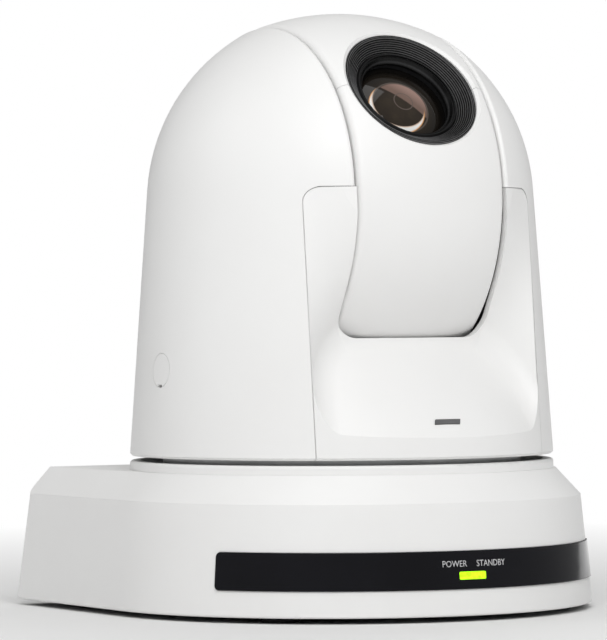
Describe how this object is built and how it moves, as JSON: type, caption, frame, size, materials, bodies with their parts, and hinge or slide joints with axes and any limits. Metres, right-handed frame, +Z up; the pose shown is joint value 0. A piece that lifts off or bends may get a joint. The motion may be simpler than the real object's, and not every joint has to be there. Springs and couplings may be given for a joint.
{
  "type": "pan-tilt-zoom camera",
  "caption": "Compact pan-tilt-zoom camera: D-shaped base, domed turret that pans, and a barrel-shaped head that tilts with its zoom lens.",
  "frame": {"origin": "mouth of the tripod thread, where the pan axis meets the base's underside; the rubber feet reach below it", "axes": "+Z up along the pan axis, -Y the front of the base, X along the tilt axis"},
  "size_m": [0.1598, 0.1575, 0.1902],
  "materials": {
    "white_plastic": "fine satin texture",
    "black_gloss": "polished smoked window",
    "black_plastic": "matt",
    "grey_plastic": "satin",
    "rubber": "matt",
    "steel": "plain",
    "zinc": "zinc plated",
    "brass": "turned",
    "aluminium": "anodised",
    "glass": "coated",
    "amber_lens": "diffusing",
    "pcb": "solder mask",
    "nylon": "moulded",
    "belt": "matt"
  },
  "bodies": {
    "base": {"base_housing": "white_plastic", "base_plate": "grey_plastic", "tripod_insert": "steel", "rubber_feet": "rubber", "base_screws": "zinc", "window_band": "black_gloss", "status_lamp": "amber_lens", "ir_receivers": "black_gloss", "rear_panel": "black_plastic", "power_inlet": "black_plastic", "audio_jack": "black_plastic", "control_jack": "black_plastic", "hdmi_jack": "zinc", "usb_jack": "zinc", "network_jack": "zinc", "video_jack": "zinc", "main_board": "pcb", "pan_spindle": "aluminium", "fixed_pan_pulley": "nylon"},
    "turret": {"pan_bearing": "steel", "pan_table": "aluminium", "pan_motor": "black_plastic", "pan_belt": "belt", "front_cover": "white_plastic", "rear_cover": "white_plastic", "side_plugs": "white_plastic", "tally_lamp": "grey_plastic", "drive_yoke": "aluminium", "idle_yoke": "aluminium", "turret_screws": "zinc", "tilt_bearings": "steel", "ear_liners": "black_plastic", "tilt_motor": "black_plastic", "tilt_belt": "belt", "driver_board": "pcb"},
    "tilt_head": {"tilt_pulley": "nylon", "upper_shell": "white_plastic", "lower_shell": "white_plastic", "shell_screws": "zinc", "head_frame": "aluminium", "trunnions": "steel", "lens_hood": "black_plastic", "lens_barrel": "black_plastic", "retaining_ring": "black_plastic", "front_element": "glass", "guide_rods": "steel", "iris_unit": "black_plastic", "lens_motors": "steel", "filter_housing": "black_plastic", "sensor_board": "pcb", "image_sensor": "black_gloss", "heat_sink": "aluminium"},
    "pan_motor_rotor": {"pan_motor_pulley": "brass"},
    "tilt_motor_rotor": {"tilt_motor_pulley": "brass"},
    "zoom_group": {"zoom_cell": "black_plastic", "zoom_element": "glass"},
    "focus_group": {"focus_cell": "black_plastic", "focus_element": "glass"},
    "filter_carriage": {"filter_slide": "black_plastic", "ir_cut_filter": "glass"}
  },
  "joints": [
    {"name": "pan", "type": "hinge", "parent": "base", "child": "turret", "pos_m": [0, 0, 0.055], "axis": [0, 0, 1], "range_deg": [-175, 175]},
    {"name": "tilt", "type": "hinge", "parent": "turret", "child": "tilt_head", "pos_m": [0, 0, 0.12816], "axis": [-1, 0, 0], "range_deg": [-68.4, 51.6]},
    {"name": "pan_motor_turn", "type": "hinge", "parent": "turret", "child": "pan_motor_rotor", "pos_m": [0, 0.043, 0.05], "axis": [0, 0, 1], "range_deg": [-845, 845]},
    {"name": "tilt_motor_turn", "type": "hinge", "parent": "turret", "child": "tilt_motor_rotor", "pos_m": [0.032, 0, 0.08816], "axis": [-1, 0, 0], "range_deg": [-280, 210]},
    {"name": "zoom", "type": "slide", "parent": "tilt_head", "child": "zoom_group", "axis": [0, -0.7837, 0.6211], "range_m": [-0.003, 0.012]},
    {"name": "focus", "type": "slide", "parent": "tilt_head", "child": "focus_group", "axis": [0, -0.7837, 0.6211], "range_m": [-0.003, 0.005]},
    {"name": "filter_shift", "type": "slide", "parent": "tilt_head", "child": "filter_carriage", "axis": [1, 0, 0], "range_m": [0, 0.012]}
  ],
  "couplings": [
    {"joint": "pan_motor_turn", "follows": "pan", "ratio": -4.8},
    {"joint": "tilt_motor_turn", "follows": "tilt", "ratio": 4}
  ]
}
